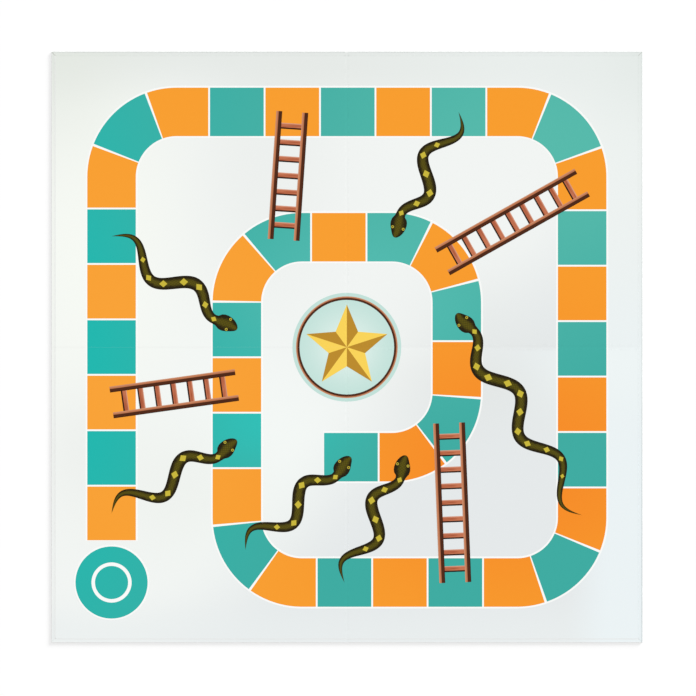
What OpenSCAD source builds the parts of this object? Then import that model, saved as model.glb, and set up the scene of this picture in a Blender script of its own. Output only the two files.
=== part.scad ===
// Snakes and ladders board, open and face up.
// Four stiff panels are covered by a wrap from behind and a printed sheet in front.
// Three arms of the cross between the panels fold and the left arm is cut through, so
// the board closes to a quarter of its size. The underside's middle is the origin,
// +X points right and +Y points to the top of the print.

/* [Board] */
// Side of the open square board
board_side = 500; // [440:1:620]
// Thickness of a panel's greyboard core
core_t = 2; // [1.5:0.1:3]
// Thickness of the wrap and of the face sheet
paper_t = 0.2; // [0.15:0.01:0.35]
// Outer radius of the wrap where it turns round an edge
edge_r = 0.5; // [0.4:0.05:0.7]
// Strip of wrap that shows between the board's edge and the face sheet
border_w = 3.4; // [2:0.1:6]
// Radius of the face sheet's four corners
face_corner_r = 1.2; // [0.4:0.1:4]
// How far the wrap is turned in over the panel
turn_in_w = 15; // [10:0.5:20]
// Open line between the two turn-ins of a mitred corner
mitre_w = 0.2; // [0.1:0.05:0.5]
// Width of the cut through the board on the left arm
slit_w = 0.12; // [0.1:0.02:0.6]

/* [Folds] */
// Gap between two cores where the fold closes face to face
front_gap = 3; // [2:0.1:5]
// Gap between two cores where the fold closes back to back
back_gap = 4; // [3:0.1:6]
// How deep a crease sinks at its fold line
crease_depth = 0.03; // [0.02:0.01:0.3]
// Slot along the fold line between the two halves of a crease
halves_slot = 0.1; // [0.05:0.05:0.2]

/* [Print] */
// Thickness of a printed ink film
ink_t = 0.06; // [0.04:0.01:0.1]
// Width of the track, with its white lines
track_w = 44; // [36:1:50]
// Width of the white lines
line_w = 1.5; // [1:0.1:2.5]
// Distance from the board's edge to the middle of the outer lane
track_margin = 51; // [40:1:56]
// Distance between the middles of two lanes
lane_pitch = 106; // [96:1:112]
// Radius of the track's middle line in a corner
turn_r = 55; // [30:1:60]
// Length of one space, rounded to fit the track
space_len = 47; // [40:1:60]
// Radius of the start disc
start_r = 32; // [26:1:36]
// Radius of the white ring in the start disc
start_ring_r = 17; // [10:1:20]
// Room between the start disc and the first space
start_gap = 3; // [2:0.5:8]
// How far the last space ends past the middle of the board
track_end_x = 20; // [0:1:30]
// Radius of the disc under the star in the middle
goal_r = 46; // [36:1:50]
// Width of the ring round the star, and of the bare edge outside it
goal_ring_w = 3; // [2:0.5:5]
// Radius of the star's points
star_r = 36; // [24:1:38]

/* [Ladders] */
// Width of a ladder over its rails
ladder_w = 27; // [20:1:34]
// Width of a rail
rail_w = 5; // [3:0.1:6]
// Width of a rung
rung_w = 5; // [2.5:0.1:6]
// Distance from rung to rung
rung_pitch = 14; // [12:1:22]

/* [Snakes] */
// Width of a snake's body
snake_w = 11; // [8:0.5:13]
// Width of a snake's head
head_w = 14; // [11:0.5:17]
// Length of a snake's head
head_len = 21; // [15:0.5:26]
// How far the body sways to each side
sway = 10; // [5:0.5:12]
// Length of one wave of the body
wave_len = 66; // [54:1:90]
// Length of a diamond on the back
diamond_len = 7.6; // [4:0.2:9]
// Width of a diamond on the back
diamond_w = 6.6; // [3:0.2:8]
// Distance from diamond to diamond
diamond_pitch = 13; // [10:0.2:18]
// Radius of an eye
eye_r = 1.2; // [0.8:0.1:1.6]

/* [Hidden] */
INKS = ["teal", "orange", "white", "olive", "yellow", "brown", "mint"];
PANELS = ["top_left", "top_right", "bottom_left", "bottom_right"];

// Colours of the papers, the board and the inks
INK_COLOURS = [
    [0.20, 0.69, 0.63],
    [0.98, 0.62, 0.20],
    [0.99, 0.99, 0.98],
    [0.17, 0.18, 0.07],
    [0.84, 0.72, 0.22],
    [0.45, 0.19, 0.12],
    [0.74, 0.87, 0.84]
];
FACE_COLOUR = [0.93, 0.94, 0.94];
WRAP_COLOUR = [0.90, 0.91, 0.91];
CORE_COLOUR = [0.62, 0.60, 0.56];

// Heights of the layers, and the overrun of a cut
half = board_side / 2;
wrap_top = paper_t + core_t;
rebate_z = wrap_top - paper_t;
face_top = wrap_top + paper_t;
over = paper_t;

// Straight steps in a crease's curve and in a quarter turn of the track
crease_steps = 6;
turn_steps = 15;
$fn = 48;

// Placing one panel's quarter of the board, drawn at +X and +Y
function is_left(p) = p == "top_left" || p == "bottom_left";
function is_low(p) = p == "bottom_left" || p == "bottom_right";
function gap_y(p) = is_left(p) ? slit_w / 2 : back_gap / 2;
gap_x = front_gap / 2;

module quarter(p) {
    mirror([is_left(p) ? 1 : 0, 0, 0]) mirror([0, is_low(p) ? 1 : 0, 0]) children();
}

// A flat section drawn in X and Z, drawn out along Y, and one drawn in Y and Z, along X
module along_y(from, to) {
    translate([0, to, 0]) rotate([90, 0, 0]) linear_extrude(to - from) children();
}

module along_x(from, to) {
    translate([from, 0, 0]) rotate([90, 0, 90]) linear_extrude(to - from) children();
}

// Section of a slab whose far edge is rounded above and below
module rounded_section(from, to, low, high, r) {
    translate([from, low]) square([to - r - from, high - low]);
    translate([to - 2 * r, low + r]) square([2 * r, high - low - 2 * r]);
    translate([to - r, low + r]) circle(r);
    translate([to - r, high - r]) circle(r);
}

// Stiff body of a panel. inset is the wrap's share of each outer edge, and inner_over
// lets it run past the edges at the folds and the slit where it is used as a cut.
module slab(p, inset, low, high, r, inner_over) {
    intersection() {
        along_y(0, half) rounded_section(gap_x - inner_over, half - inset, low, high, r);
        along_x(0, half) rounded_section(gap_y(p) - inner_over, half - inset, low, high, r);
    }
}

// The part of a core that stands between the turn-ins
module plateau(p, top, inner_over) {
    low_x = gap_x - inner_over;
    low_y = gap_y(p) - inner_over;
    translate([low_x, low_y, rebate_z])
        cube([half - turn_in_w - low_x, half - turn_in_w - low_y, top - rebate_z]);
}

module core(p) {
    color(CORE_COLOUR) quarter(p) {
        slab(p, paper_t, paper_t, rebate_z, edge_r - paper_t, 0);
        plateau(p, wrap_top, 0);
    }
}

// Open line of the mitred corner, from the board's corner inwards
module mitre() {
    translate([half, half, rebate_z]) rotate([0, 0, 225])
        translate([-over, -mitre_w / 2, 0])
        cube([turn_in_w * sqrt(2) + over, mitre_w, paper_t + over]);
}

// Paper behind the core, round its outer edges and turned in over it
module wrap(p) {
    color(WRAP_COLOUR) quarter(p) difference() {
        slab(p, 0, 0, wrap_top, edge_r, 0);
        slab(p, paper_t, paper_t, rebate_z, edge_r - paper_t, over);
        plateau(p, wrap_top + over, over);
        mitre();
    }
}

// Printed sheet on one panel, with the corner of the board's sheet rounded
module face(p) {
    low = [gap_x, gap_y(p)];
    size = [half - border_w, half - border_w] - low;
    color(FACE_COLOUR) quarter(p) translate([0, 0, wrap_top]) linear_extrude(paper_t) {
        translate(low) square(size - [face_corner_r, 0]);
        translate(low) square(size - [0, face_corner_r]);
        translate(low + size - [face_corner_r, face_corner_r]) circle(face_corner_r);
    }
}

// How far a crease lies below the face at u from its fold line
function sunk(u, half_gap) = crease_depth * (1 + cos(180 * u / half_gap)) / 2;
function crease_line(z, half_gap) = [
    for (k = [0:crease_steps])
        let (u = halves_slot / 2 + (half_gap - halves_slot / 2) * k / crease_steps)
        [u, z - sunk(u, half_gap)]
];
function backwards(list) = [for (k = [len(list) - 1:-1:0]) list[k]];

// Section of one half of a creased layer between two heights
module crease_section(low, high, half_gap) {
    polygon(concat(crease_line(low, half_gap), backwards(crease_line(high, half_gap))));
}

// Section of the wrap tucked up into a gap: up the core's edge, then under the face sheet
module tuck_section(half_gap) {
    bend = [for (a = [0:15:90]) [half_gap - paper_t * cos(a), paper_t * (1 - sin(a))]];
    inner = [for (q = crease_line(rebate_z, half_gap)) if (q[0] < half_gap - paper_t) q];
    polygon(concat(
        bend,
        backwards(crease_line(wrap_top, half_gap)),
        inner,
        [[half_gap - paper_t, rebate_z - sunk(half_gap - paper_t, half_gap)]]
    ));
}

// Half of the face sheet's crease on the top or bottom arm
module face_crease(p) {
    color(FACE_COLOUR) quarter(p)
        along_y(slit_w / 2, half - border_w) crease_section(wrap_top, face_top, gap_x);
}

// Half of the wrap's crease on the top or bottom arm, tucked into the gap
module wrap_crease(p) {
    color(WRAP_COLOUR) quarter(p)
        along_y(slit_w / 2, half - edge_r) tuck_section(gap_x);
}

// Half of the face sheet's crease on the right arm
module face_crease_right(p) {
    color(FACE_COLOUR) quarter(p)
        along_x(gap_x, half - border_w) crease_section(wrap_top, face_top, back_gap / 2);
}

// A crease's line with its ends run on, for the space above or below it
function crease_cut(z, half_gap) = concat(
    [[halves_slot / 2 - over, z - sunk(halves_slot / 2, half_gap)]],
    crease_line(z, half_gap),
    [[half_gap + over, z]]
);

// Half of the wrap on the right arm: straight across the gap behind, up at the board's
// edge and turned in under the face sheet, where it sinks with the crease
module wrap_crease_right(p) {
    reach = back_gap / 2;
    far = reach + over;
    near = halves_slot / 2 - over;
    color(WRAP_COLOUR) quarter(p) difference() {
        along_y(halves_slot / 2, reach) rounded_section(gap_x, half, 0, wrap_top, edge_r);
        along_x(gap_x - over, half + over)
            polygon(concat(crease_cut(wrap_top, reach), [[far, face_top], [near, face_top]]));
        along_x(gap_x - over, half - paper_t)
            polygon(concat(crease_cut(rebate_z, reach), [[far, paper_t], [near, paper_t]]));
        translate([gap_x - over, near, paper_t])
            cube([half - turn_in_w - gap_x + over, far - near, face_top]);
    }
}

// The track's middle line: a spiral of lanes with rounded corners.
// Each stretch is [distance at its start, length, start point, heading, turn, radius].
outer = half - track_margin;
inner = outer - lane_pitch;
track_corners = [
    [-outer, start_r + start_gap - outer],
    [-outer, outer],
    [outer, outer],
    [outer, -outer],
    [-inner, -outer],
    [-inner, inner],
    [inner, inner],
    [inner, -inner],
    [-track_end_x, -inner]
];
last_corner = len(track_corners) - 1;
leg_share = 0.5;

function leg(k) = track_corners[k + 1] - track_corners[k];
function heading(k) = atan2(leg(k)[1], leg(k)[0]);
function ahead(a) = [cos(a), sin(a)];
function leftward(a) = [-sin(a), cos(a)];
function corner_r(k) = k == 0 || k == last_corner
    ? 0
    : min(turn_r, leg_share * min(norm(leg(k - 1)), norm(leg(k))));
function corner_turn(k) = cross(leg(k - 1), leg(k)) > 0 ? 1 : -1;

function stretches(k = 0, s = 0) = k == last_corner ? [] : let (
    a = heading(k),
    from = track_corners[k] + ahead(a) * corner_r(k),
    straight = norm(leg(k)) - corner_r(k) - corner_r(k + 1),
    r = corner_r(k + 1),
    bend = PI / 2 * r
) concat(
    [[s, straight, from, a, 0, 0]],
    r > 0 ? [[s + straight, bend, from + ahead(a) * straight, a, corner_turn(k + 1), r]] : [],
    stretches(k + 1, s + straight + bend)
);
track = stretches();
track_end = track[len(track) - 1];
track_len = track_end[0] + track_end[1];

function on_stretch(t, s, side) = t[4] == 0
    ? t[2] + ahead(t[3]) * (s - t[0]) + leftward(t[3]) * side
    : let (a = t[3] + t[4] * (s - t[0]) / t[5] * 180 / PI)
        t[2] + leftward(t[3]) * t[4] * t[5] + leftward(a) * (side - t[4] * t[5]);
function track_at(s, side = 0) = let (
    found = [for (t = track) if (s <= t[0] + t[1]) t],
    t = len(found) > 0 ? found[0] : track_end
) on_stretch(t, s, side);

// Distances at which the outline needs a point, in the corners
bend_points = [
    for (t = track) if (t[4] != 0) for (k = [0:turn_steps]) t[0] + t[1] * k / turn_steps
];
function between(from, to) = concat(
    [from],
    [for (s = bend_points) if (s > from + line_w / 2 && s < to - line_w / 2) s],
    [to]
);

module ribbon(from, to, w) {
    stations = between(from, to);
    polygon(concat(
        [for (s = stations) track_at(s, w / 2)],
        [for (s = backwards(stations)) track_at(s, -w / 2)]
    ));
}

space_count = round(track_len / space_len);
space_pitch = track_len / space_count;
function space_point(k) = track_at((k + 1 / 2) * space_pitch);

// Which spaces, discs and figures can reach a panel's quarter
function side_x(p) = is_left(p) ? -1 : 1;
function side_y(p) = is_low(p) ? -1 : 1;
function reaches(p, points, r) = max([for (q = points) q[0] * side_x(p)]) > -r
    && max([for (q = points) q[1] * side_y(p)]) > -r;

module spaces(p, parity) {
    for (k = [parity:2:space_count - 1])
        if (reaches(p, [space_point(k)], space_pitch))
            ribbon(k * space_pitch + line_w / 2, (k + 1) * space_pitch - line_w / 2, track_w - 2 * line_w);
}

// Places along the track, as shares of its length, that each figure joins
ladder_shares = [[0.06, 0.74], [0.24, 0.81], [0.375, 0.875], [0.58, 0.94]];
snake_shares = [[0.76, 0.125], [0.715, 0.01], [0.85, 0.305], [0.90, 0.51], [0.965, 0.625], [0.99, 0.67]];
function space_of(share) = min(floor(share * space_count), space_count - 1);
function ends(pair) = [space_point(space_of(pair[0])), space_point(space_of(pair[1]))];

// Moves a figure drawn along +X from the origin so that it runs from one point to the other
module from_to(pair) {
    way = pair[1] - pair[0];
    translate(pair[0]) rotate(atan2(way[1], way[0])) children();
}

module ladder(length) {
    rungs = floor(length / rung_pitch);
    first = (length - (rungs - 1) * rung_pitch) / 2;
    for (side = [-1, 1])
        translate([0, side * (ladder_w - rail_w) / 2 - rail_w / 2]) square([length, rail_w]);
    for (k = [0:rungs - 1])
        translate([first + k * rung_pitch - rung_w / 2, -ladder_w / 2 + rail_w / 2])
            square([rung_w, ladder_w - rail_w]);
}

// A snake's middle line, drawn from the head at the origin to the tail on +X. The sway
// grows over the head and the neck, so that the head lies straight.
slope_step_share = 0.001;
function eased(x) = x >= 1 ? 1 : x * x * (3 - 2 * x);
function waves(length) = max(1, round(2 * length / wave_len) / 2);
function sway_at(t, length) =
    sway * eased(t * length / (2 * head_len)) * sin(360 * waves(length) * t);
function spine(t, length) = [t * length, sway_at(t, length)];
function slope_at(t, length) =
    let (way = spine(t + slope_step_share, length) - spine(t - slope_step_share, length))
    atan2(way[1], way[0]);

// Half width of the outline at a distance from the nose: a head with a round snout that is
// widest behind the eyes, a slimmer neck, then a body that runs out to a point
neck_share = 0.62;
head_peak_share = pow(1 / 9, 1 / 8) * 8 / 9;
function head_shape(x) = x >= 1 ? 0 : sqrt(x) * (1 - pow(x, 4)) / head_peak_share;
function head_half(d) = head_w / 2 * head_shape(d / head_len);
function body_half(d, length) = d < head_len / 2 ? 0 : snake_w / 2
    * min(1, neck_share + (1 - neck_share) * (d - head_len / 2) / (2 * head_len))
    * (1 - pow(d / length, 4));
function snake_half(d, length) = max(head_half(d), body_half(d, length));

// Outline points lie closest together at the nose
head_steps = 10;
outline_pitch = 2.6;
function outline_stations(length) = let (steps = round((length - head_len) / outline_pitch)) concat(
    [for (k = [0:head_steps - 1]) head_len * pow(k / head_steps, 2)],
    [for (k = [0:steps]) head_len + (length - head_len) * k / steps]
);

module snake(length) {
    sides = [for (d = outline_stations(length)) let (t = d / length) [
        spine(t, length),
        leftward(slope_at(t, length)) * snake_half(d, length)
    ]];
    polygon(concat([for (q = sides) q[0] + q[1]], [for (q = backwards(sides)) q[0] - q[1]]));
}

// Eyes on the head and diamonds down the back that shrink towards the tail
eye_share = 0.4;
module snake_marks(length) {
    for (side = [-1, 1])
        let (t = eye_share * head_len / length)
        translate(spine(t, length) + leftward(slope_at(t, length)) * side * (head_w / 2 - 2 * eye_r))
            circle(eye_r);
    for (d = [head_len:diamond_pitch:length - 2 * diamond_pitch])
        let (t = d / length, size_share = body_half(d, length) / (snake_w / 2))
        translate(spine(t, length)) rotate(slope_at(t, length)) polygon([
            [-diamond_len / 2 * size_share, 0],
            [0, -diamond_w / 2 * size_share],
            [diamond_len / 2 * size_share, 0],
            [0, diamond_w / 2 * size_share]
        ]);
}

// Every ladder or snake that can reach a panel's quarter, each as long as its two ends are apart
module joined(p, shares) {
    for (pair = shares)
        let (e = ends(pair), $span = norm(e[1] - e[0]))
        if (reaches(p, e, ladder_w))
            from_to(e) children();
}

module ladders(p) {
    joined(p, ladder_shares) ladder($span);
}

module snakes(p) {
    joined(p, snake_shares) snake($span);
}

module marks(p) {
    joined(p, snake_shares) snake_marks($span);
}

star_points = 5;
star_waist_share = 0.45;
module star() {
    polygon([for (k = [0:2 * star_points - 1])
        let (r = star_r * (k % 2 == 0 ? 1 : star_waist_share))
        r * ahead(90 + 180 * k / star_points)]);
}

// Start disc in the lower left corner, the ring round the star, and what lies over the track
module start_disc(r) {
    translate([-outer, -outer]) circle(r);
}

module ring(r, w) {
    difference() {
        circle(r);
        circle(r - w);
    }
}

module start_rings() {
    translate([-outer, -outer]) {
        ring(start_r, line_w);
        ring(start_ring_r, 2 * line_w);
    }
}

module goal_ring() {
    ring(goal_r - goal_ring_w, goal_ring_w);
}

module figures(p) {
    ladders(p);
    snakes(p);
}

// Flat shape of one ink on the face. The inks lie side by side and never overlap.
module ink_shape(ink, p) {
    if (ink == "teal") difference() {
        union() {
            spaces(p, 1);
            start_disc(start_r);
        }
        start_rings();
        circle(goal_r);
        figures(p);
    }
    if (ink == "orange") difference() {
        spaces(p, 0);
        circle(goal_r);
        figures(p);
    }
    if (ink == "white") difference() {
        union() {
            ribbon(0, track_len, track_w);
            start_rings();
        }
        spaces(p, 0);
        spaces(p, 1);
        circle(goal_r);
        figures(p);
    }
    if (ink == "mint") difference() {
        circle(goal_r);
        goal_ring();
        star();
        figures(p);
    }
    if (ink == "yellow") {
        difference() {
            star();
            figures(p);
        }
        difference() {
            marks(p);
            ladders(p);
        }
    }
    if (ink == "olive") difference() {
        snakes(p);
        marks(p);
        ladders(p);
    }
    if (ink == "brown") {
        ladders(p);
        difference() {
            goal_ring();
            star();
            figures(p);
        }
    }
}

// Thin skin that the ink fills: level on the panel and sinking with each crease
module ink_skin(p) {
    quarter(p) {
        translate([gap_x, gap_y(p), face_top])
            cube([half - border_w - gap_x, half - border_w - gap_y(p), ink_t]);
        along_y(slit_w / 2, half - border_w) crease_section(face_top, face_top + ink_t, gap_x);
        if (!is_left(p))
            along_x(gap_x, half - border_w) crease_section(face_top, face_top + ink_t, back_gap / 2);
    }
}

module ink_film(ink, p) {
    depth = crease_depth + 2 * ink_t;
    color(INK_COLOURS[search([ink], INKS)[0]]) intersection() {
        ink_skin(p);
        translate([0, 0, face_top - depth]) linear_extrude(2 * depth) ink_shape(ink, p);
    }
}

for (p = PANELS) {
    core(p);
    wrap(p);
    face(p);
    face_crease(p);
    wrap_crease(p);
    for (ink = INKS)
        ink_film(ink, p);
}
face_crease_right("top_right");  // face_crease_right_upper
face_crease_right("bottom_right");  // face_crease_right_lower
wrap_crease_right("top_right");  // wrap_crease_right_upper
wrap_crease_right("bottom_right");  // wrap_crease_right_lower
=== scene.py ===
"""Looks of a folding snakes and ladders board, laid open and seen from above.

The four panels keep their own cores, wraps and face sheets, in greyboard, paper and satin laminate. At each
fold the creased papers are strips that take the crease's shape. The print is a set of thin ink films, cut
where the board folds. Lengths are in metres: +X runs right, +Y to the top of the print, +Z up out of it.
"""
import math

import bmesh
import bpy
import numpy as np
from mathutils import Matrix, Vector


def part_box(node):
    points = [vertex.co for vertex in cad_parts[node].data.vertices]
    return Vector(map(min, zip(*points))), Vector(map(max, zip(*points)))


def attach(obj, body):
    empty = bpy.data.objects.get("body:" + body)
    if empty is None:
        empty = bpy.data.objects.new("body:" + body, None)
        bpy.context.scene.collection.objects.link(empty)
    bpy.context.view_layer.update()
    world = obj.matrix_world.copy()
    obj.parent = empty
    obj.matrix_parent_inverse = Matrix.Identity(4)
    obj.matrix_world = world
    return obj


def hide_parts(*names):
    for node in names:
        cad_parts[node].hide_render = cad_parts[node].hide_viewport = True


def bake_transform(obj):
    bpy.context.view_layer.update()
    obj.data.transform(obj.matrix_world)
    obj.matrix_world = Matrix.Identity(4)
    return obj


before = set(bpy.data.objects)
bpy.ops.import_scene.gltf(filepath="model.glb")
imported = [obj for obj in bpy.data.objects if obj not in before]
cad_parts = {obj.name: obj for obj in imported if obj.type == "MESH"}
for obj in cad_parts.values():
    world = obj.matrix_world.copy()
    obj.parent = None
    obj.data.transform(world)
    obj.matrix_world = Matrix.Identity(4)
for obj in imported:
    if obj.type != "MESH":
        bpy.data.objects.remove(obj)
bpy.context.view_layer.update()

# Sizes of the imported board
MM = 0.001
PANELS = ("top_left", "top_right", "bottom_left", "bottom_right")
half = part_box("wrap_top_right")[1].x
gap_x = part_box("core_top_right")[0].x
gap_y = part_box("core_top_right")[0].y
slit_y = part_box("core_top_left")[0].y
face_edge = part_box("face_top_right")[1].x
wrap_top, face_top = (corner.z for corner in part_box("face_top_right"))
ink_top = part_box("print_teal_top_right")[1].z
ink_t = ink_top - face_top
paper_t = face_top - wrap_top
crease_depth = wrap_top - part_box("face_crease_top_right")[0].z
edge_r = 0.5 * MM
turn_in_w = 15 * MM

# Driving sizes of the print, as on the part
track_w = 44 * MM
line_w = 1.5 * MM
track_margin = 51 * MM
lane_pitch = 106 * MM
turn_r = 55 * MM
space_len = 47 * MM
start_r = 32 * MM
start_ring_r = 17 * MM
start_gap = 3 * MM
track_end_x = 20 * MM
goal_r = 46 * MM
goal_ring_w = 3 * MM
star_r = 36 * MM
star_notch = 0.45
ladder_w = 27 * MM
rail_w = 5 * MM
rung_w = 5 * MM
rung_pitch = 14 * MM
snake_w = 11 * MM
head_w = 14 * MM
head_len = 21 * MM
neck_share = 0.62
eye_share = 0.4
sway = 10 * MM
wave_len = 66 * MM
diamond_len = 7.6 * MM
diamond_w = 6.6 * MM
diamond_pitch = 13 * MM
eye_r = 1.2 * MM
ladder_shares = ((0.06, 0.74), (0.24, 0.81), (0.375, 0.875), (0.58, 0.94))
snake_shares = ((0.76, 0.125), (0.715, 0.01), (0.85, 0.305), (0.90, 0.51), (0.965, 0.625), (0.99, 0.67))

# Heights of the ink films over the face sheet, as shares of the ink's thickness
UNDER, SPACE, RING, FIGURE, MARK, LADDER = 0.3, 0.48, 0.6, 0.75, 0.88, 1.0

# Fineness of the meshes: planes that cut the print at each fold, points across a bending strip, stations
# along it, and rows of a snake's head and body with the points across them
FOLD_CUTS, STRIP_POINTS, STATIONS = 17, 33, 41
HEAD_ROWS, BODY_ROWS, BODY_POINTS = 15, 90, 9
WELD = 0.0002 * MM

# Light: sky, share of the floor's glow that is seen, and a soft lamp with its rise and spread in degrees
SKY = 0.59
FLOOR_GLOW, GLOW_SHARE = 1.11, 0.55
KEY_RISE, KEY_SPREAD = 25, 27
KEY = 0.39 * math.pi / math.sin(math.radians(KEY_RISE))

# Camera: height over the face, width of board and floor that it sees, and width of its sensor in mm
CAMERA_UP, SEEN_W, SENSOR_W = 2.0, 0.5886, 36


def along(angle):
    """Unit vectors at these angles from +X, in radians."""
    return np.stack((np.cos(angle), np.sin(angle)), axis=-1)


def leftward(angle):
    """Unit vectors a quarter turn to the left of these angles."""
    return np.stack((-np.sin(angle), np.cos(angle)), axis=-1)


def eased(x):
    """Smooth step from 0 to 1: x squared times (3 minus 2 x)."""
    x = np.clip(x, 0, 1)
    return x * x * (3 - 2 * x)


class Track:
    """Middle line of the printed track: straight lanes of a square spiral, joined by quarter turns."""

    def __init__(self):
        far = half - track_margin
        near = far - lane_pitch
        corners = np.array([
            (-far, start_r + start_gap - far), (-far, far), (far, far), (far, -far), (-near, -far),
            (-near, near), (near, near), (near, -near), (-track_end_x, -near),
        ])
        legs = np.diff(corners, axis=0)
        lengths = np.hypot(*legs.T)
        angles = np.arctan2(legs[:, 1], legs[:, 0])
        radii = np.minimum(turn_r, 0.5 * np.minimum(lengths[:-1], lengths[1:]))
        radii = np.concatenate(([0], radii, [0]))
        turns = np.sign(legs[:-1, 0] * legs[1:, 1] - legs[:-1, 1] * legs[1:, 0])
        rows = []
        at = 0.0
        for k, leg_angle in enumerate(angles):
            first = corners[k] + along(leg_angle) * radii[k]
            straight = lengths[k] - radii[k] - radii[k + 1]
            rows.append((at, *first, leg_angle, 0, 1))
            at += straight
            if radii[k + 1] > 0:
                rows.append((at, *(first + along(leg_angle) * straight), leg_angle, turns[k], radii[k + 1]))
                at += math.pi / 2 * radii[k + 1]
        self.start, self.x, self.y, self.angle, self.turn, self.radius = np.array(rows).T
        self.length = at
        self.count = round(at / space_len)
        self.pitch = at / self.count

    def at(self, s, side=0.0):
        """Point at distance s along the line and side to its left. On a lane: its start, plus the way gone
        ahead, plus side to the left. In a turn: the centre, one radius to the turning side, plus the left
        direction after the angle gone, times side less the turn's signed radius."""
        s, side = np.broadcast_arrays(s, side)
        k = np.clip(np.searchsorted(self.start, s, side="right") - 1, 0, len(self.start) - 1)
        gone = s - self.start[k]
        first = np.stack((self.x[k], self.y[k]), axis=-1)
        angle, turn, radius = self.angle[k], self.turn[k], self.radius[k]
        lane = first + along(angle) * gone[..., None] + leftward(angle) * side[..., None]
        centre = first + leftward(angle) * (turn * radius)[..., None]
        turned = angle + turn * gone / radius
        bend = centre + leftward(turned) * (side - turn * radius)[..., None]
        return np.where((turn == 0)[..., None], lane, bend)

    def space(self, share):
        """Middle of the space that this share of the track's length falls in."""
        return self.at((min(int(share * self.count), self.count - 1) + 0.5) * self.pitch)


track = Track()


class Film:
    """Flat patches of one ink. Each patch is a grid of points with its own print coordinates."""

    def __init__(self, ink):
        self.ink = ink
        self.points, self.uvs, self.quads, self.size = [], [], [], 0

    def lay(self, points, uv, level):
        """Adds patches of shape (patch, row, column, 2) at a level that is a share of the ink's thickness."""
        count, rows, columns = points.shape[:3]
        index = np.arange(count * rows * columns).reshape(count, rows, columns) + self.size
        around = (index[:, :-1, :-1], index[:, 1:, :-1], index[:, 1:, 1:], index[:, :-1, 1:])
        quads = np.stack(around, axis=-1).reshape(-1, 4)
        flat = points.reshape(-1, 2)
        a, b, c, d = (flat[quads[:, k] - self.size] for k in range(4))
        area = np.cross(c - a, d - b)
        quads[area < 0] = quads[area < 0][:, ::-1]
        self.points.append(np.column_stack((flat, np.full(len(flat), face_top + ink_t * level))))
        self.uvs.append(np.broadcast_to(uv, points.shape).reshape(-1, 2))
        self.quads.append(quads)
        self.size += len(flat)

    def mesh(self):
        """All patches as one mesh, with the print coordinates as its UV map."""
        mesh = bpy.data.meshes.new("film")
        quads = np.concatenate(self.quads)
        mesh.from_pydata(np.concatenate(self.points), [], quads)
        layer = mesh.uv_layers.new(name="print")
        layer.data.foreach_set("uv", np.concatenate(self.uvs)[quads.ravel()].ravel().astype(np.float32))
        return mesh


def grid(u, v):
    """Two-parameter grid: u runs down the rows and v along the columns."""
    return np.meshgrid(u, v, indexing="ij")


def band(start, end, width, steps):
    """Ribbons along the track: s runs from start to end in each patch, and side from minus half the width to
    plus half the width."""
    t, side = grid(np.linspace(0, 1, steps + 1), np.linspace(-width / 2, width / 2, 5))
    s = np.atleast_1d(start)[:, None, None] + t * np.atleast_1d(end - start)[:, None, None]
    return track.at(s, np.broadcast_to(side, s.shape)), np.stack(np.broadcast_arrays(s, side), axis=-1)


def ring(centre, inner, outer, steps=72):
    """Flat ring: the centre plus a radius from inner to outer, at every angle."""
    radius, angle = grid(np.linspace(inner, outer, 3), np.linspace(0, 2 * math.pi, steps + 1))
    return (np.array(centre) + along(angle) * radius[..., None])[None], np.stack((radius, angle), -1)[None]


def from_to(points, first, last):
    """Turns and moves a figure drawn along +X from the origin so that it runs from first to last."""
    way = (last - first) / np.hypot(*(last - first))
    return first + points[..., :1] * way + points[..., 1:] * np.array((-way[1], way[0]))


def bars(x_low, x_high, y_low, y_high, lengthwise):
    """Rectangles with print coordinates along the grain in metres and across it from 0 to 1. Those whose
    grain runs across lie one metre lower along it, which tells the rungs from the rails."""
    t, r = grid(np.array((0.0, 1.0)), np.array((0.0, 1.0)))
    low = np.stack((x_low, y_low), axis=-1)[:, None, None]
    size = np.stack((x_high - x_low, y_high - y_low), axis=-1)[:, None, None]
    share = np.stack((t, r), axis=-1)
    points = low + size * share
    grain = points[..., 0] if lengthwise else points[..., 1] - 1
    across = share[..., 1] if lengthwise else share[..., 0]
    return points, np.stack(np.broadcast_arrays(grain, across), axis=-1)


def snake_line(d, length):
    """Middle line at distance d from the nose, and its direction. The line sways by a sine with a whole
    number of half waves, and the sway grows from nothing over two head lengths."""
    waves = max(1, round(2 * length / wave_len) / 2)

    def point(x):
        return np.stack((x, sway * eased(x / (2 * head_len)) * np.sin(2 * math.pi * waves * x / length)), -1)

    step = 0.001 * length
    way = point(d + step) - point(d - step)
    return point(d), np.arctan2(way[..., 1], way[..., 0])


def snake_body(d, length):
    """Half width of the body behind the head: slimmer at the neck, then full, then down to the tail's tip
    by one less the fourth power of the share gone."""
    grown = np.minimum(1, neck_share + (1 - neck_share) * (d - head_len / 2) / (2 * head_len))
    return np.where(d < head_len / 2, 0, snake_w / 2 * grown * (1 - (d / length) ** 4))


def snake_half(d, length):
    """Half width of the outline: the larger of the body and a head that follows root x times (1 - x^4),
    over that curve's peak, where x^4 is 1/9."""
    x = np.clip(d / head_len, 0, 1)
    peak = (1 / 9) ** (1 / 8) * 8 / 9
    return np.maximum(head_w / 2 * np.sqrt(x) * (1 - x**4) / peak, snake_body(d, length))


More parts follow.
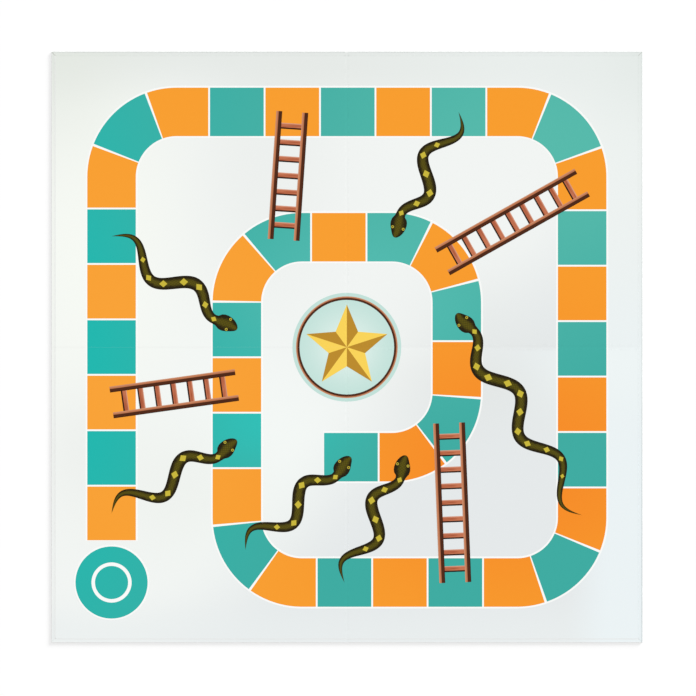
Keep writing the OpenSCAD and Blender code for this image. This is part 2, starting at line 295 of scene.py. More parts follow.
def track_films(films):
    """White band under all, with the spaces on it, and the start disc with its two rings."""
    films["white"].lay(*band(0.0, track.length, track_w, steps=1000), UNDER)
    for ink, parity in (("orange", 0), ("teal", 1)):
        k = np.arange(parity, track.count, 2)
        start, end = k * track.pitch + line_w / 2, (k + 1) * track.pitch - line_w / 2
        films[ink].lay(*band(start, end, track_w - 2 * line_w, steps=14), SPACE)
    start_point = (track_margin - half, track_margin - half)
    films["teal"].lay(*ring(start_point, 0, start_r), SPACE)
    films["white"].lay(*ring(start_point, start_r - line_w, start_r), RING)
    films["white"].lay(*ring(start_point, start_ring_r - 2 * line_w, start_ring_r), RING)


def goal_films(films):
    """Pale disc, brown ring and a star whose ten facets turn light and dark in turn."""
    films["mint"].lay(*ring((0, 0), 0, goal_r), UNDER)
    films["brown"].lay(*ring_of_wood(goal_r - 2 * goal_ring_w, goal_r - goal_ring_w), SPACE)
    k = np.arange(10)
    tips = along(math.pi / 2 + math.pi * k / 5) * (star_r * np.where(k % 2 == 0, 1, star_notch))[:, None]
    nexts = np.roll(tips, -1, axis=0)
    middle = np.zeros_like(tips)
    points = np.stack((middle, tips, middle, nexts), axis=1).reshape(10, 2, 2, 2)
    side = np.where(k % 2 == 0, 1.0, -1.0)[:, None, None] * np.ones((10, 2, 2))
    films["yellow"].lay(points, np.stack((side, np.zeros_like(side)), axis=-1), FIGURE)


def ring_of_wood(inner, outer):
    """The ring with print coordinates as a bar has them: along it in metres, across it from 0 to 1."""
    points, polar = ring((0, 0), inner, outer)
    radius, angle = polar[..., 0], polar[..., 1]
    return points, np.stack((angle * outer, (radius - inner) / (outer - inner)), axis=-1)


def ladder_films(films):
    """Two rails and evenly spaced rungs between them, from space to space. All are drawn upwards on the
    print, so that their shaded sides agree."""
    for low, high in ladder_shares:
        first, last = sorted((track.space(low), track.space(high)), key=lambda place: place[1])
        length = np.hypot(*(last - first))
        outer, inner = ladder_w / 2, ladder_w / 2 - rail_w
        zero, full = np.zeros(2), np.full(2, length)
        rails, grain = bars(zero, full, np.array((-outer, inner)), np.array((-inner, outer)), lengthwise=True)
        films["brown"].lay(from_to(rails, first, last), grain, LADDER)
        count = int(length / rung_pitch)
        middle = (length - (count - 1) * rung_pitch) / 2 + np.arange(count) * rung_pitch
        side = np.full(count, inner)
        rungs, grain = bars(middle - rung_w / 2, middle + rung_w / 2, -side, side, lengthwise=False)
        films["brown"].lay(from_to(rungs, first, last), grain, LADDER)


def snake_films(films):
    """Bodies as grids of distance and side, with diamonds down the back and two eyes."""
    for head, tail in snake_shares:
        first, last = track.space(head), track.space(tail)
        length = np.hypot(*(last - first))
        head_part = head_len * np.linspace(0, 1, HEAD_ROWS)[:-1] ** 2
        d = np.concatenate((head_part, np.linspace(head_len, length, BODY_ROWS)))
        d, side = grid(d, np.linspace(-1, 1, BODY_POINTS))
        middle, angle = snake_line(d, length)
        points = middle + leftward(angle) * (side * snake_half(d, length))[..., None]
        films["olive"].lay(from_to(points, first, last)[None], np.stack((d, side), axis=-1)[None], FIGURE)

        d = np.arange(head_len, length - 2 * diamond_pitch, diamond_pitch)
        middle, angle = snake_line(d, length)
        size = snake_body(d, length) / (snake_w / 2)
        ends = along(angle) * (size * diamond_len / 2)[:, None]
        sides = leftward(angle) * (size * diamond_w / 2)[:, None]
        marks = np.stack((middle - ends, middle - sides, middle + sides, middle + ends), axis=1)
        films["yellow"].lay(from_to(marks.reshape(-1, 2, 2, 2), first, last), (0, 1), MARK)

        middle, angle = snake_line(np.array(eye_share * head_len), length)
        for sign in (-1, 1):
            centre = middle + leftward(angle) * sign * (head_w / 2 - 2 * eye_r)
            points, polar = ring(centre, 0, eye_r, steps=16)
            radius = polar[..., 0]
            spot = np.stack((radius * 0, 2 - radius / eye_r), axis=-1)
            films["yellow"].lay(from_to(points, first, last), spot, MARK)


# The board's regions: four panels and the three folds between them. A fold has its two bodies, the end of
# the blend on the first and on the second, the axis across which it sinks, and half its gap.
TOP, BOTTOM, RIGHT = "fold_top", "fold_bottom", "fold_right"
mid_z = (wrap_top + face_top) / 2
CUT = 0.01 * MM
FOLDS = {
    TOP: (
        "panel_top_right", "panel_top_left",
        (gap_x, half / 2, mid_z), (-gap_x, half / 2, mid_z), 0, gap_x,
    ),
    BOTTOM: (
        "panel_bottom_right", "panel_bottom_left",
        (gap_x, -half / 2, mid_z), (-gap_x, -half / 2, mid_z), 0, gap_x,
    ),
    RIGHT: (
        "panel_top_right", "panel_bottom_right",
        (half / 2, gap_y, mid_z), (half / 2, -gap_y, mid_z), 1, gap_y,
    ),
}


def sunk(across, half_gap):
    """How far a crease lies below the face: half its depth times one plus the cosine over the gap."""
    return crease_depth * (1 + np.cos(np.pi * np.clip(across / half_gap, -1, 1))) / 2


def region_of(x, y):
    """The panel or fold that a point of the face lies on, or None in the cut and at the middle."""
    if abs(y) < CUT and x < gap_x:
        return None
    if abs(x) < gap_x:
        return TOP if y > 0 else BOTTOM
    if x > 0 and abs(y) < gap_y:
        return RIGHT
    return ("top" if y > 0 else "bottom") + ("_right" if x > 0 else "_left")


def join(piece, region):
    """Lets a piece follow its panel. A piece on a fold keeps its place, with its transform baked into its
    mesh.
    """
    if region in FOLDS:
        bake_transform(piece)
    else:
        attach(piece, "panel_" + region)


def put(name, data):
    """Adds an object with this data to the scene, at the origin."""
    thing = bpy.data.objects.new(name, data)
    bpy.context.scene.collection.objects.link(thing)
    return thing


def add_piece(name, mesh, material, slot, region):
    """Adds a visible piece with its material, and joins it to its region. The slot is not used."""
    mesh.name = name
    mesh.materials.append(material)
    piece = put(name, mesh)
    join(piece, region)
    return piece


def cut_planes():
    """Planes across the face at the folds' edges, at even steps inside each fold and at the cut."""
    for at in np.linspace(-gap_x, gap_x, FOLD_CUTS):
        yield (at, 0, 0), (1, 0, 0)
    for at in (*np.linspace(-gap_y, gap_y, FOLD_CUTS), -CUT, CUT):
        yield (0, at, 0), (0, 1, 0)


def sink(mesh, axis, half_gap):
    """Lowers a film's points into the crease under it."""
    place = np.empty(len(mesh.vertices) * 3, np.float32)
    mesh.vertices.foreach_get("co", place)
    place = place.reshape(-1, 3)
    place[:, 2] -= sunk(place[:, axis], half_gap)
    mesh.vertices.foreach_set("co", place.ravel())


def print_pieces(film, material):
    """Cuts one ink's film along the folds, sinks it into the creases and makes a closed skin per region."""
    whole = bmesh.new()
    whole.from_mesh(film.mesh())
    bmesh.ops.remove_doubles(whole, verts=whole.verts, dist=WELD)
    bmesh.ops.dissolve_degenerate(whole, edges=whole.edges, dist=WELD)
    for point, normal in cut_planes():
        geometry = whole.verts[:] + whole.edges[:] + whole.faces[:]
        bmesh.ops.bisect_plane(whole, geom=geometry, plane_co=point, plane_no=normal, dist=WELD)
    regions = [region_of(*face.calc_center_median().xy) for face in whole.faces]
    for region in sorted(set(regions) - {None}):
        part = whole.copy()
        others = [face for face, where in zip(part.faces, regions) if where != region]
        bmesh.ops.delete(part, geom=others, context="FACES")
        bmesh.ops.solidify(part, geom=part.faces[:], thickness=ink_t)
        mesh = bpy.data.meshes.new("ink")
        part.to_mesh(mesh)
        part.free()
        if region in FOLDS:
            sink(mesh, *FOLDS[region][4:])
        piece = add_piece(f"ink_{film.ink}_{region}", mesh, material, "ink_" + film.ink, region)
        if region in PANELS:
            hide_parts(f"print_{film.ink}_{region}")
    whole.free()


def prism(outline, stations, place):
    """Closed bar: a flat outline (n, 2) carried along the stations, with a flat end at each."""
    rings, n = len(stations), len(outline)
    a, s = np.broadcast_arrays(outline[None], stations[:, None, None])
    points = place(a[..., 0], a[..., 1], s[..., 0]).reshape(-1, 3)
    index = np.arange(rings * n).reshape(rings, n)
    after = np.roll(index, -1, axis=1)
    sides = np.stack((index[:-1], after[:-1], after[1:], index[1:]), axis=-1).reshape(-1, 4)
    mesh = bpy.data.meshes.new("prism")
    mesh.from_pydata(points, [], [*sides.tolist(), index[0, ::-1].tolist(), index[-1].tolist()])
    shell = bmesh.new()
    shell.from_mesh(mesh)
    bmesh.ops.recalc_face_normals(shell, faces=shell.faces)
    shell.to_mesh(mesh)
    shell.free()
    mesh.set_sharp_from_angle(angle=math.radians(40))
    mesh.polygons.foreach_set("use_smooth", np.ones(len(mesh.polygons), bool))
    return mesh


def across_fold(axis):
    """Lays a strip's outline across a fold and its stations along it."""
    return lambda a, z, s: np.stack((a, s, z) if axis == 0 else (s, a, z), axis=-1)


def quarter_arc(centre, radius, first, last, steps=8):
    """Points round a centre between two angles in degrees."""
    return np.array(centre) + along(np.radians(np.linspace(first, last, steps + 1))) * radius


def face_strip(region, low, high):
    """Creased face sheet over a gap: its upper and lower side both follow the crease."""
    axis, half_gap = FOLDS[region][4:]
    across = np.linspace(-half_gap, half_gap, STRIP_POINTS)
    upper = np.column_stack((across, face_top - sunk(across, half_gap)))
    lower = upper - (0, paper_t)
    outline = np.concatenate((upper, lower[::-1]))
    return prism(outline, np.linspace(low, high, STATIONS), across_fold(axis))


def tucked_strip(low, high):
    """Wrap tucked up into a gap: out of the sheet behind, up the core's edge, across under the crease and
    down again. The bends below are quarter circles one paper thick."""
    across = np.linspace(gap_x, -gap_x, STRIP_POINTS)
    top = np.column_stack((across, wrap_top - sunk(across, gap_x)))
    bend = quarter_arc((gap_x, paper_t), paper_t, 270, 180)
    inside = across[np.abs(across) <= gap_x - paper_t]
    ceiling = np.column_stack((inside, wrap_top - paper_t - sunk(inside, gap_x)))
    mirrored = bend[::-1] * (-1, 1)
    outline = np.concatenate((bend, ceiling, mirrored, top[::-1]))
    return prism(outline, np.linspace(low, high, STATIONS), across_fold(0))


def turned_strip():
    """Wrap over the right arm's gap: flat behind, round the board's edge and turned in over the front, where
    it sinks with the crease."""
    x, z = half - edge_r, wrap_top - edge_r

    def side(depth):
        """One side of the paper, at this depth in it."""
        r = edge_r - depth
        return np.concatenate((
            [(gap_x, depth)], quarter_arc((x, edge_r), r, -90, 0), quarter_arc((x, z), r, 0, 90),
            [(half - turn_in_w, wrap_top - depth)],
        ))

    def place(a, z, s):
        """Lays the outline across the edge. It sinks in full in front and not at all behind."""
        rise = np.clip((z - edge_r) / (wrap_top - 2 * edge_r), 0, 1)
        return np.stack((a, s, z - rise * sunk(s, gap_y)), axis=-1)

    outline = np.concatenate((side(0), side(paper_t)[::-1]))
    return prism(outline, np.linspace(-gap_y, gap_y, STRIP_POINTS), place)


def fold_pieces(face_material, wrap_material):
    """The creased papers, in place of the two stiff halves of each crease."""
    for region, panels, sign in ((TOP, PANELS[:2], 1), (BOTTOM, PANELS[2:], -1)):
        low, high = sorted((sign * slit_y, sign * face_edge))
        strip = face_strip(region, low, high)
        piece = add_piece("face_" + region, strip, face_material, "face_paper", region)
        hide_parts(*("face_crease_" + panel for panel in panels))
        low, high = sorted((sign * slit_y, sign * (half - edge_r)))
        piece = add_piece("wrap_" + region, tucked_strip(low, high), wrap_material, "wrap_paper", region)
        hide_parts(*("wrap_crease_" + panel for panel in panels))
    strip = face_strip(RIGHT, gap_x, face_edge)
    piece = add_piece("face_" + RIGHT, strip, face_material, "face_paper", RIGHT)
    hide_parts("face_crease_right_upper", "face_crease_right_lower")
    piece = add_piece("wrap_" + RIGHT, turned_strip(), wrap_material, "wrap_paper", RIGHT)
    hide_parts("wrap_crease_right_upper", "wrap_crease_right_lower")


class Wire:
    """An output socket. Sums, differences, products, quotients and sizes of wires add Math nodes."""

    def __init__(self, finish, socket):
        self.finish, self.socket = finish, socket

    def __add__(self, other):
        return self.finish.math("ADD", self, other)

    def __sub__(self, other):
        return self.finish.math("SUBTRACT", self, other)

    def __rsub__(self, other):
        return self.finish.math("SUBTRACT", other, self)

    def __mul__(self, other):
        return self.finish.math("MULTIPLY", self, other)

    def __truediv__(self, other):
        return self.finish.math("DIVIDE", self, other)

    def __abs__(self):
        return self.finish.math("ABSOLUTE", self)

    __radd__, __rmul__ = __add__, __mul__


class Finish:
    """One material while it is wired up, with the place on the board as x, y and z in metres."""

    def __init__(self, name, tree=None):
        if tree is None:
            self.material = bpy.data.materials.new(name)
            self.material.use_nodes = True
            tree = self.material.node_tree
        self.tree = tree
        self.tree.nodes.clear()
        self.place = self.add("ShaderNodeTexCoord", output="Object")
        self.x, self.y, self.z = self.parts(self.place)

    def add(self, kind, settings=None, sockets=None, output=0):
        """Adds a node of this kind: its settings first, then the values or links of its sockets."""
        node = self.tree.nodes.new(kind)
        for name, value in (settings or {}).items():
            setattr(node, name, value)
        for name, value in (sockets or {}).items():
            if isinstance(value, Wire):
                self.tree.links.new(value.socket, node.inputs[name])
            else:
                node.inputs[name].default_value = value
        return Wire(self, node.outputs[output]) if len(node.outputs) else None

    def math(self, operation, *values):
        """Adds a Math node with this operation."""
        return self.add("ShaderNodeMath", {"operation": operation}, dict(enumerate(values)))

    def parts(self, vector):
        """The three parts of a vector."""
        node = self.add("ShaderNodeSeparateXYZ", {}, {0: vector}).socket.node
        return [Wire(self, socket) for socket in node.outputs]

    def noise(self, scale, detail=2.0, roughness=0.5, where=None):
        """Noise about 0 to 1, with features of about one over the scale in metres."""
        sockets = {"Vector": where or self.place, "Scale": scale, "Detail": detail, "Roughness": roughness}
        return self.add("ShaderNodeTexNoise", {}, sockets)

    def stretched(self, *factors):
        """The place with each axis scaled."""
        return self.add("ShaderNodeVectorMath", {"operation": "MULTIPLY"}, {0: self.place, 1: factors})

    def step(self, value, low, high):
        """Smooth step of a value between low and high."""
        sockets = {"Value": value, "From Min": low, "From Max": high}
        return self.add("ShaderNodeMapRange", {"interpolation_type": "SMOOTHSTEP"}, sockets)

    def mix(self, factor, first, second):
        """Colour between two others."""
        sockets = {0: factor, 6: rgba(first), 7: rgba(second)}
        return self.add("ShaderNodeMix", {"data_type": "RGBA"}, sockets, output=2)

    def shade(self, colour, factor):
        """A colour made lighter or darker by a factor."""
        vector = colour if isinstance(colour, Wire) else colour[:3]
        return self.add("ShaderNodeVectorMath", {"operation": "SCALE"}, {0: vector, "Scale": factor})

    def bell(self, x0, y0, wide, tall):
        """One at a place on the board and less round it: e to the minus of the squared distances over the
        widths."""
        across, up = (self.x - x0) / wide, (self.y - y0) / tall
        return self.math("EXPONENT", (across * across + up * up) * -1)

    def bump(self, height, strength, distance):
        """Normal of a fine relief."""
        return self.add("ShaderNodeBump", {}, {"Strength": strength, "Distance": distance, "Height": height})

    def surface(self, **sockets):
        """Ends the material in one shader with these sockets."""
        names = {name.replace("_", " "): value for name, value in sockets.items()}
        shader = self.add("ShaderNodeBsdfPrincipled", {}, names)
        self.add("ShaderNodeOutputMaterial", {}, {"Surface": shader})
        return self.material


def rgba(colour):
    """A wire as it is, or a colour with its alpha."""
    return colour if isinstance(colour, Wire) else (*colour[:3], 1)


def srgb(red, green, blue):
    """Colour from its screen values of 0 to 255."""
    c = np.array((red, green, blue)) / 255
    return tuple(np.where(c <= 0.04045, c / 12.92, ((c + 0.055) / 1.055) ** 2.4).tolist())


def fold_wear(finish):
    """One on the three fold lines and none beyond their gaps."""
    ax, ay = abs(finish.x), abs(finish.y)
    upright = 1 - finish.step(ax, 0.2 * gap_x, 1.3 * gap_x)
    level = (1 - finish.step(ay, 0.2 * gap_y, 1.3 * gap_y)) * finish.step(finish.x, 0, 2 * gap_x)
    return finish.math("MAXIMUM", upright, level)


def laminated(finish, colour, grain=0.02):
    """Satin film over the printed sheet: orange peel, fibres that show through, and dull rubbed patches, most
    of all along each fold."""
    peel = finish.noise(420, 3)
    fibre = finish.noise(2400, 2, 0.6, finish.stretched(1, 0.3, 1))
    # Dull worn patches: here they only roughen the film.
    wear_and_painted_shade = finish.noise(11, 4, 0.62)
    worn = fold_wear(finish)
    speckle = finish.noise(5200, 1)
    toned = finish.shade(colour, 1 - grain / 2 + (speckle * 0.6 + fibre * 0.4) * grain)
    roughness = 0.27 + peel * 0.06 + wear_and_painted_shade * 0.14 + worn * 0.1
    normal = finish.bump(peel + fibre * 0.35, 0.5, 0.02 * MM)
    return finish.surface(Base_Color=toned, Roughness=roughness, Normal=normal, Specular_IOR_Level=0.1)


def spotted(finish, tone, spots):
    """A tone with soft spots of others. A spot is its tone, its share at the middle, its place and widths."""
    for spot, share, *place in spots:
        tone = finish.mix(finish.bell(*place) * share, tone, srgb(*spot))
    return tone


# Soft spots of the ground, partly the sheet's own tint and partly painted light falloff and sheen: those
# of the sheet, and those that also lie over the bands along its edges
SHEET_SPOTS = (
    ((249, 252, 246), 1, -0.22, 0.09, 0.09, 0.17),
    ((249, 254, 252), 1, -0.09, -0.11, 0.08, 0.1),
    ((238, 241, 239), 0.8, -0.07, 0.16, 0.06, 0.12),
)
EDGE_SPOTS = (
    ((229, 234, 226), 0.7, -0.25, 0.25, 0.07, 0.08),
    ((229, 235, 232), 0.8, 0.25, 0.25, 0.06, 0.06),
    ((236, 239, 237), 0.5, -0.225, -0.085, 0.03, 0.05),
    ((237, 240, 235), 0.6, -0.13, -0.12, 0.08, 0.07),
    ((227, 230, 228), 0.6, 0.12, -0.032, 0.08, 0.035),
)


def ground_tone(finish):
    """Pale grey-green ground of sheet and wrap: warm and light to the left, darker in a band along the top
    that widens to the right, cool and darker to the lower right, and light again by the right edge. These
    broad tones are partly the sheet's own tint and partly painted light falloff and sheen. Across the right
    fold it steps from dark to light, with painted shade above it and painted light below, and two spots of
    painted shade lie where the top fold's gap ends."""
    down = (finish.x - finish.y) * math.sqrt(0.5)
    # The broad tones below are partly the sheet's own tint and partly painted light falloff and sheen.
    tone = spotted(finish, srgb(244, 247, 245), SHEET_SPOTS)
    tone = finish.mix(finish.step(down, 0.02, 0.13), tone, srgb(231, 235, 236))
    tone = finish.mix(finish.step(finish.y, -0.2, -0.245) * 0.7, tone, srgb(236, 241, 241))
    upper = finish.mix(finish.step(finish.x, -0.05, 0.2), srgb(232, 236, 233), srgb(236, 241, 239))
    wider = finish.step(finish.x, -0.15, -0.05) * 0.016
    tone = finish.mix(finish.step(finish.y + wider, 0.195, 0.255), tone, upper)
    cool = finish.step(finish.y, 0.15, -0.1)
    edge = finish.mix(cool, srgb(240, 245, 243), srgb(238, 246, 248))
    tone = finish.mix(finish.step(finish.x, 0.18, 0.225) * 0.9, tone, edge)
    tone = spotted(finish, tone, EDGE_SPOTS)
    # Painted shade just above the right fold and painted light just below it.
    above = finish.bell(0.11, 0.01, 0.06, 0.05) * finish.step(finish.y, -gap_y, 0)
    tone = finish.mix(above * 0.5, tone, srgb(229, 233, 232))
    below = finish.bell(0.22, -0.01, 0.07, 0.05) * finish.step(finish.y, 0, -2 * gap_y)
    tone = finish.mix(below * 0.8, tone, srgb(241, 248, 248))
    # Painted shade: two spots where the top fold's gap meets the sheet's edge.
    painted_gap_shade = finish.step(abs(abs(finish.x) - gap_x), 1.1 * MM, 0.2 * MM)
    painted_gap_shade = painted_gap_shade * finish.step(abs(finish.y - face_edge), 1.2 * MM, 0.3 * MM)
    return finish.shade(tone, 1 - painted_gap_shade * 0.07)


def inward_from(finish, edge):
    """Distance from a square edge round the board inwards."""
    return edge - finish.math("MAXIMUM", abs(finish.x), abs(finish.y))


def lit_sides(finish):
    """One along the top and right edges, which face the light, and none along the other two."""
    return finish.step(finish.x + finish.y, -0.5 * MM, 0.5 * MM)


def face_finish():
    """The sheet's ground under its laminate, with a line along the cut edge: painted shade along the top and
    right edges, which face the light, and painted light, near white, along the other two."""
    finish = Finish("laminated_face_sheet")
    colour = ground_tone(finish)
    lit = lit_sides(finish)
    # Band along the sheet's cut edge: painted light, near white, on the sides away from the light, and
    # painted shade on the lit sides.
    cut = 1 - finish.step(inward_from(finish, face_edge), 0, 0.8 * MM)
    colour = finish.mix(cut * (1 - lit) * 0.5, colour, srgb(252, 254, 253))
    return laminated(finish, finish.shade(colour, 1 - cut * lit * 0.11), 0.012)


def wrap_finish():
    """Pale wrap: a felt of fine fibres, clouded a little, greyer behind and on the edges, where hands and
    tables rub it. Turned in, it has painted shade, a little along the top and right edges and most along the
    left edge. Where it turns round the top and right edges it is painted grey with shade, darker towards the
    bottom, and round the other two, and in a band beside the sheet there, painted light makes it near white."""
    finish = Finish("wrap_paper")
    felt = finish.noise(900, 4, 0.6, finish.stretched(1, 0.55, 1))
    cloud = finish.noise(45, 3)
    lit = lit_sides(finish)
    inward = inward_from(finish, half)
    turned = 1 - finish.step(inward, 0.1 * MM, 1.1 * MM)
    # Painted shade: the turned edge along the top and right sides is greyed, darker towards the bottom, less
    # by the top right corner and not over the top fold's gap.
    wear_and_painted_shade = turned * (0.6 + cloud * 0.8) * lit
    wear_and_painted_shade = wear_and_painted_shade * finish.step(abs(finish.x), 0.6 * gap_x, 1.1 * gap_x)
    wear_and_painted_shade = wear_and_painted_shade * (0.8 - finish.bell(0.25, 0.25, 0.16, 0.16) * 0.3)
    # Painted shade on the turned-in strip: a little along the top and right edges, more along the left edge.
    left = (1 - lit) * finish.step(finish.y - finish.x, -0.5 * MM, 0.5 * MM)
    tone = finish.shade(ground_tone(finish), 0.98 + felt * 0.02 + cloud * 0.015 - lit * 0.026 - left * 0.036)
    painted_edge_shade_tone = finish.mix(finish.step(finish.y, 0, -0.18), srgb(190, 195, 193), srgb(158, 166, 168))
    tone = finish.mix(wear_and_painted_shade, tone, painted_edge_shade_tone)
    border_w = half - face_edge
    # Painted light: the turned edge on the bottom and left sides, and a band beside the sheet's edge there,
    # are lifted near white against their shade.
    painted_light_band = finish.step(inward, border_w - 0.9 * MM, border_w - 0.2 * MM) * 0.7
    tone = finish.mix(finish.math("MAXIMUM", turned, painted_light_band) * (1 - lit) * 0.9, tone, srgb(255, 255, 254))
    back = finish.mix(finish.step(finish.z, 0.1 * MM, 0.5 * MM), srgb(229, 232, 229), srgb(209, 211, 206))
    back = finish.shade(back, 0.95 + felt * 0.04 + cloud * 0.03)
    tone = finish.mix(finish.step(finish.z, 0.8 * wrap_top, 0.5 * wrap_top), tone, back)
    normal = finish.bump(felt, 0.6, 0.03 * MM)
    return finish.surface(Base_Color=tone, Roughness=0.5 + felt * 0.15, Normal=normal, Specular_IOR_Level=0.1)


def board_finish():
    """Greyboard: pressed waste fibres in layers, with darker and lighter flecks. In the lower corners the
    line under the open mitre is painted near white: painted light over the shade in that gap."""
    finish = Finish("greyboard")
    fibre = finish.noise(700, 5, 0.65, finish.stretched(1, 1, 6))
    fleck = finish.noise(1500, 2, 0.5, finish.stretched(0.4, 1, 2))
    layer = finish.noise(3, 3, 0.6, finish.stretched(4, 4, 1600))
    tone = finish.mix(fibre, srgb(142, 137, 126), srgb(186, 181, 168))
    tone = finish.mix(finish.step(fleck, 0.62, 0.72) * 0.5, tone, srgb(98, 92, 84))
    tone = finish.shade(tone, 0.9 + layer * 0.2)
    ax, ay = abs(finish.x), abs(finish.y)
    # Painted light: the core under the open mitre in the lower corners is lifted near white over the gap's
    # shade.
    mitre = finish.step(abs(ax - ay), 0.5 * MM, 0.3 * MM) * finish.step(ax, 0.2, 0.21)
    tone = finish.mix(mitre * finish.step(finish.y, 0.1, -0.1), tone, srgb(240, 243, 242))
    normal = finish.bump(fibre + layer, 0.8, 0.08 * MM)
    roughness = 0.85 + fibre * 0.1
    return finish.surface(Base_Color=tone, Roughness=roughness, Normal=normal, Specular_IOR_Level=0.25)


# Plain inks: the tone of each, and its spots
INK_TONES = {
    "teal": (
        (61, 172, 162),
        ((82, 190, 180), 1, 0.01, 0.04, 0.12, 0.07),
        ((49, 193, 184), 1, -0.07, -0.06, 0.07, 0.05),
        ((26, 185, 176), 1, -0.24, -0.02, 0.12, 0.3),
        ((86, 187, 172), 1, 0.17, 0.17, 0.2, 0.13),
    ),
    "orange": (
        (250, 158, 43),
        ((251, 164, 54), 1, -0.17, -0.03, 0.17, 0.2),
        ((248, 139, 36), 1, 0.14, -0.1, 0.15, 0.11),
    ),
    "white": ((252, 253, 251), ((254, 254, 252), 1, -0.1, 0.0, 0.2, 0.2)),
    "mint": ((193, 226, 218), ((228, 244, 238), 1, 0.0, 0.0, 0.028, 0.028)),
}


def plain_ink(name):
    """Flat colour of the print, which shifts a little over the sheet."""
    finish = Finish("ink_" + name)
    first, *spots = INK_TONES[name]
    return laminated(finish, spotted(finish, srgb(*first), spots), 0.03)


def print_place(finish):
    """Along and across a printed figure, from its print coordinates."""
    return finish.parts(finish.add("ShaderNodeUVMap", {"uv_map": "print"}))


def wood_ink():
    """Ladders and ring printed as wood, with streaks along the grain. A rail has a light front strip beside
    its wide dark side. A rung, whose print coordinate along the grain lies below -0.5 m, is redder, with a
    light upper edge and a dark line of shade below."""
    finish = Finish("ink_brown")
    along_grain, across, _ = print_place(finish)
    place = finish.add("ShaderNodeCombineXYZ", {}, {0: along_grain * 60, 1: across * 5, 2: finish.x * 20})
    streak = finish.noise(1, 5, 0.65, place)
    rung = finish.step(along_grain, -0.4, -0.6)
    rail = finish.mix(streak, srgb(170, 96, 60), srgb(208, 139, 100))
    tread = finish.mix(finish.step(streak, 0.3, 0.7), srgb(164, 80, 50), srgb(208, 126, 90))
    tread = finish.mix(finish.step(across, 0.76, 0.94) * 0.6, tread, srgb(229, 177, 152))
    side = finish.mix(streak, srgb(50, 20, 4), srgb(94, 46, 22))
    side = finish.mix(finish.math("MAXIMUM", rung, finish.step(across, 0.14, 0.02)), side, srgb(34, 12, 3))
    edge = 0.56 - rung * 0.36
    lit = finish.step(across - edge, 0, 0.08)
    colour = finish.mix(lit, side, finish.mix(rung, rail, tread))
    glint = finish.step(across, 0.82, 0.9) * (1 - finish.step(across, 0.94, 1)) * (1 - rung)
    return laminated(finish, finish.mix(glint * 0.5, colour, srgb(226, 174, 140)), 0.03)


def scale_ink():
    """Snakes printed in olive: dark flanks, a lighter back and a net of scales that runs with the body."""
    finish = Finish("ink_olive")
    distance, side, _ = print_place(finish)
    slope = distance * (1 / (2.2 * MM))
    one, two = (finish.math("PINGPONG", slope + side * turn, 0.5) for turn in (2.5, -2.5))
    net = finish.step(finish.math("MINIMUM", one, two), 0.02, 0.2)
    mottle = finish.noise(380, 3, 0.6)
    back = 1 - finish.step(abs(side) + (mottle - 0.5) * 0.7, 0.15, 0.75)
    colour = finish.mix(back, srgb(34, 25, 2), srgb(90, 81, 12))
    return laminated(finish, finish.shade(colour, 0.35 + net * 0.45 + mottle * 0.4), 0.03)


def gold_ink():
    """Star, diamonds and eyes in gold. The facet coordinate is 1 on the star's light facets and -1 on the
    dark ones. The spot coordinate is 1 on diamonds, and grows from 1 at an eye's rim to 2 in its pupil."""
    finish = Finish("ink_yellow")
    facet, spot, _ = print_place(finish)
    colour = finish.mix(facet * 0.5 + 0.5, srgb(188, 139, 43), srgb(252, 214, 90))
    colour = finish.mix(finish.step(spot, 0.4, 0.6), colour, srgb(202, 184, 59))
    pupil = finish.step(spot, 1.45, 1.55)
    return laminated(finish, finish.mix(pupil, colour, srgb(42, 40, 36)), 0.03)


def dress_board():
    """Gives the kept panels their finishes and lays the print and the creased papers."""
    face, wrap, core = face_finish(), wrap_finish(), board_finish()
    for panel in PANELS:
        for part, finish in (("core", core), ("wrap", wrap), ("face", face)):
            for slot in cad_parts[f"{part}_{panel}"].material_slots:
                slot.material = finish
    fold_pieces(face, wrap)
    inks = {name: plain_ink(name) for name in INK_TONES}
    inks |= {"brown": wood_ink(), "olive": scale_ink(), "yellow": gold_ink()}
    films = {name: Film(name) for name in inks}
    for draw in (track_films, goal_films, ladder_films, snake_films):
        draw(films)
    for name, film in films.items():
        print_pieces(film, inks[name])


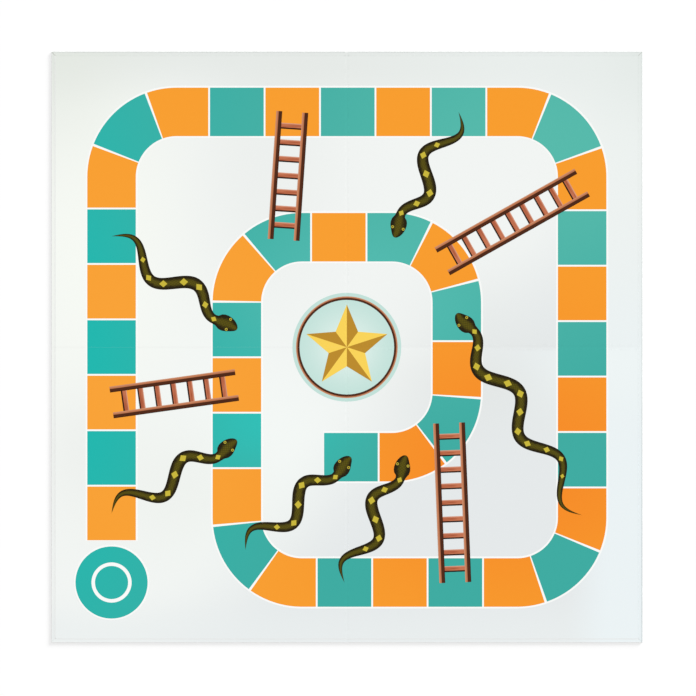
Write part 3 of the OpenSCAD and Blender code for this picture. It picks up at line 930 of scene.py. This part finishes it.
def studio():
    """Pale floor, even light from the upper right with an open sky, and the camera straight above."""
    size = 4.0
    low = -0.05 * MM
    mesh = bpy.data.meshes.new("floor")
    corners = [(-size, -size, low), (size, -size, low), (size, size, low), (-size, size, low)]
    mesh.from_pydata(corners, [], [(0, 1, 2, 3)])
    floor = put("floor", mesh)
    finish = Finish("floor")
    seen = seen_rays(finish)
    matt = finish.add("ShaderNodeBsdfDiffuse", {}, {"Color": (0.9, 0.9, 0.9, 1)})
    glow = finish.add("ShaderNodeEmission", {}, {"Color": (1, 1, 1, 1), "Strength": FLOOR_GLOW})
    surface = finish.add("ShaderNodeMixShader", {}, {0: seen * GLOW_SHARE, 1: matt, 2: glow})
    finish.add("ShaderNodeOutputMaterial", {}, {"Surface": surface})
    mesh.materials.append(finish.material)

    world = bpy.data.worlds.new("studio")
    bpy.context.scene.world = world
    world.use_nodes = True
    sky = Finish("sky", world.node_tree)
    lit = sky.add("ShaderNodeBackground", {}, {"Color": (1, 1, 1, 1), "Strength": SKY})
    white = sky.add("ShaderNodeBackground", {}, {"Color": (1, 1, 1, 1), "Strength": 1.0})
    both = sky.add("ShaderNodeMixShader", {}, {0: seen_rays(sky), 1: lit, 2: white})
    sky.add("ShaderNodeOutputWorld", {}, {"Surface": both})

    lamp = bpy.data.lights.new("soft_key", "SUN")
    lamp.energy = KEY
    lamp.angle = math.radians(KEY_SPREAD)
    key = put("soft_key", lamp)
    key.rotation_euler = (0, math.radians(90 - KEY_RISE), math.radians(45))

    camera = bpy.data.cameras.new("camera")
    camera.sensor_width = SENSOR_W
    camera.lens = SENSOR_W * CAMERA_UP / SEEN_W
    above = put("camera", camera)
    above.location = (0.97 * MM, -0.68 * MM, CAMERA_UP + face_top)
    bpy.context.scene.camera = above
    bpy.context.scene.view_settings.view_transform = "Standard"


def seen_rays(finish):
    """1 for the rays by which camera, gloss and glass see, and 0 for the light that falls on the board."""
    node = finish.add("ShaderNodeLightPath").socket.node
    kinds = ("Camera", "Glossy", "Transmission")
    camera, gloss, glass = (Wire(finish, node.outputs[f"Is {kind} Ray"]) for kind in kinds)
    return finish.math("MAXIMUM", finish.math("MAXIMUM", camera, gloss), glass)


dress_board()
studio()
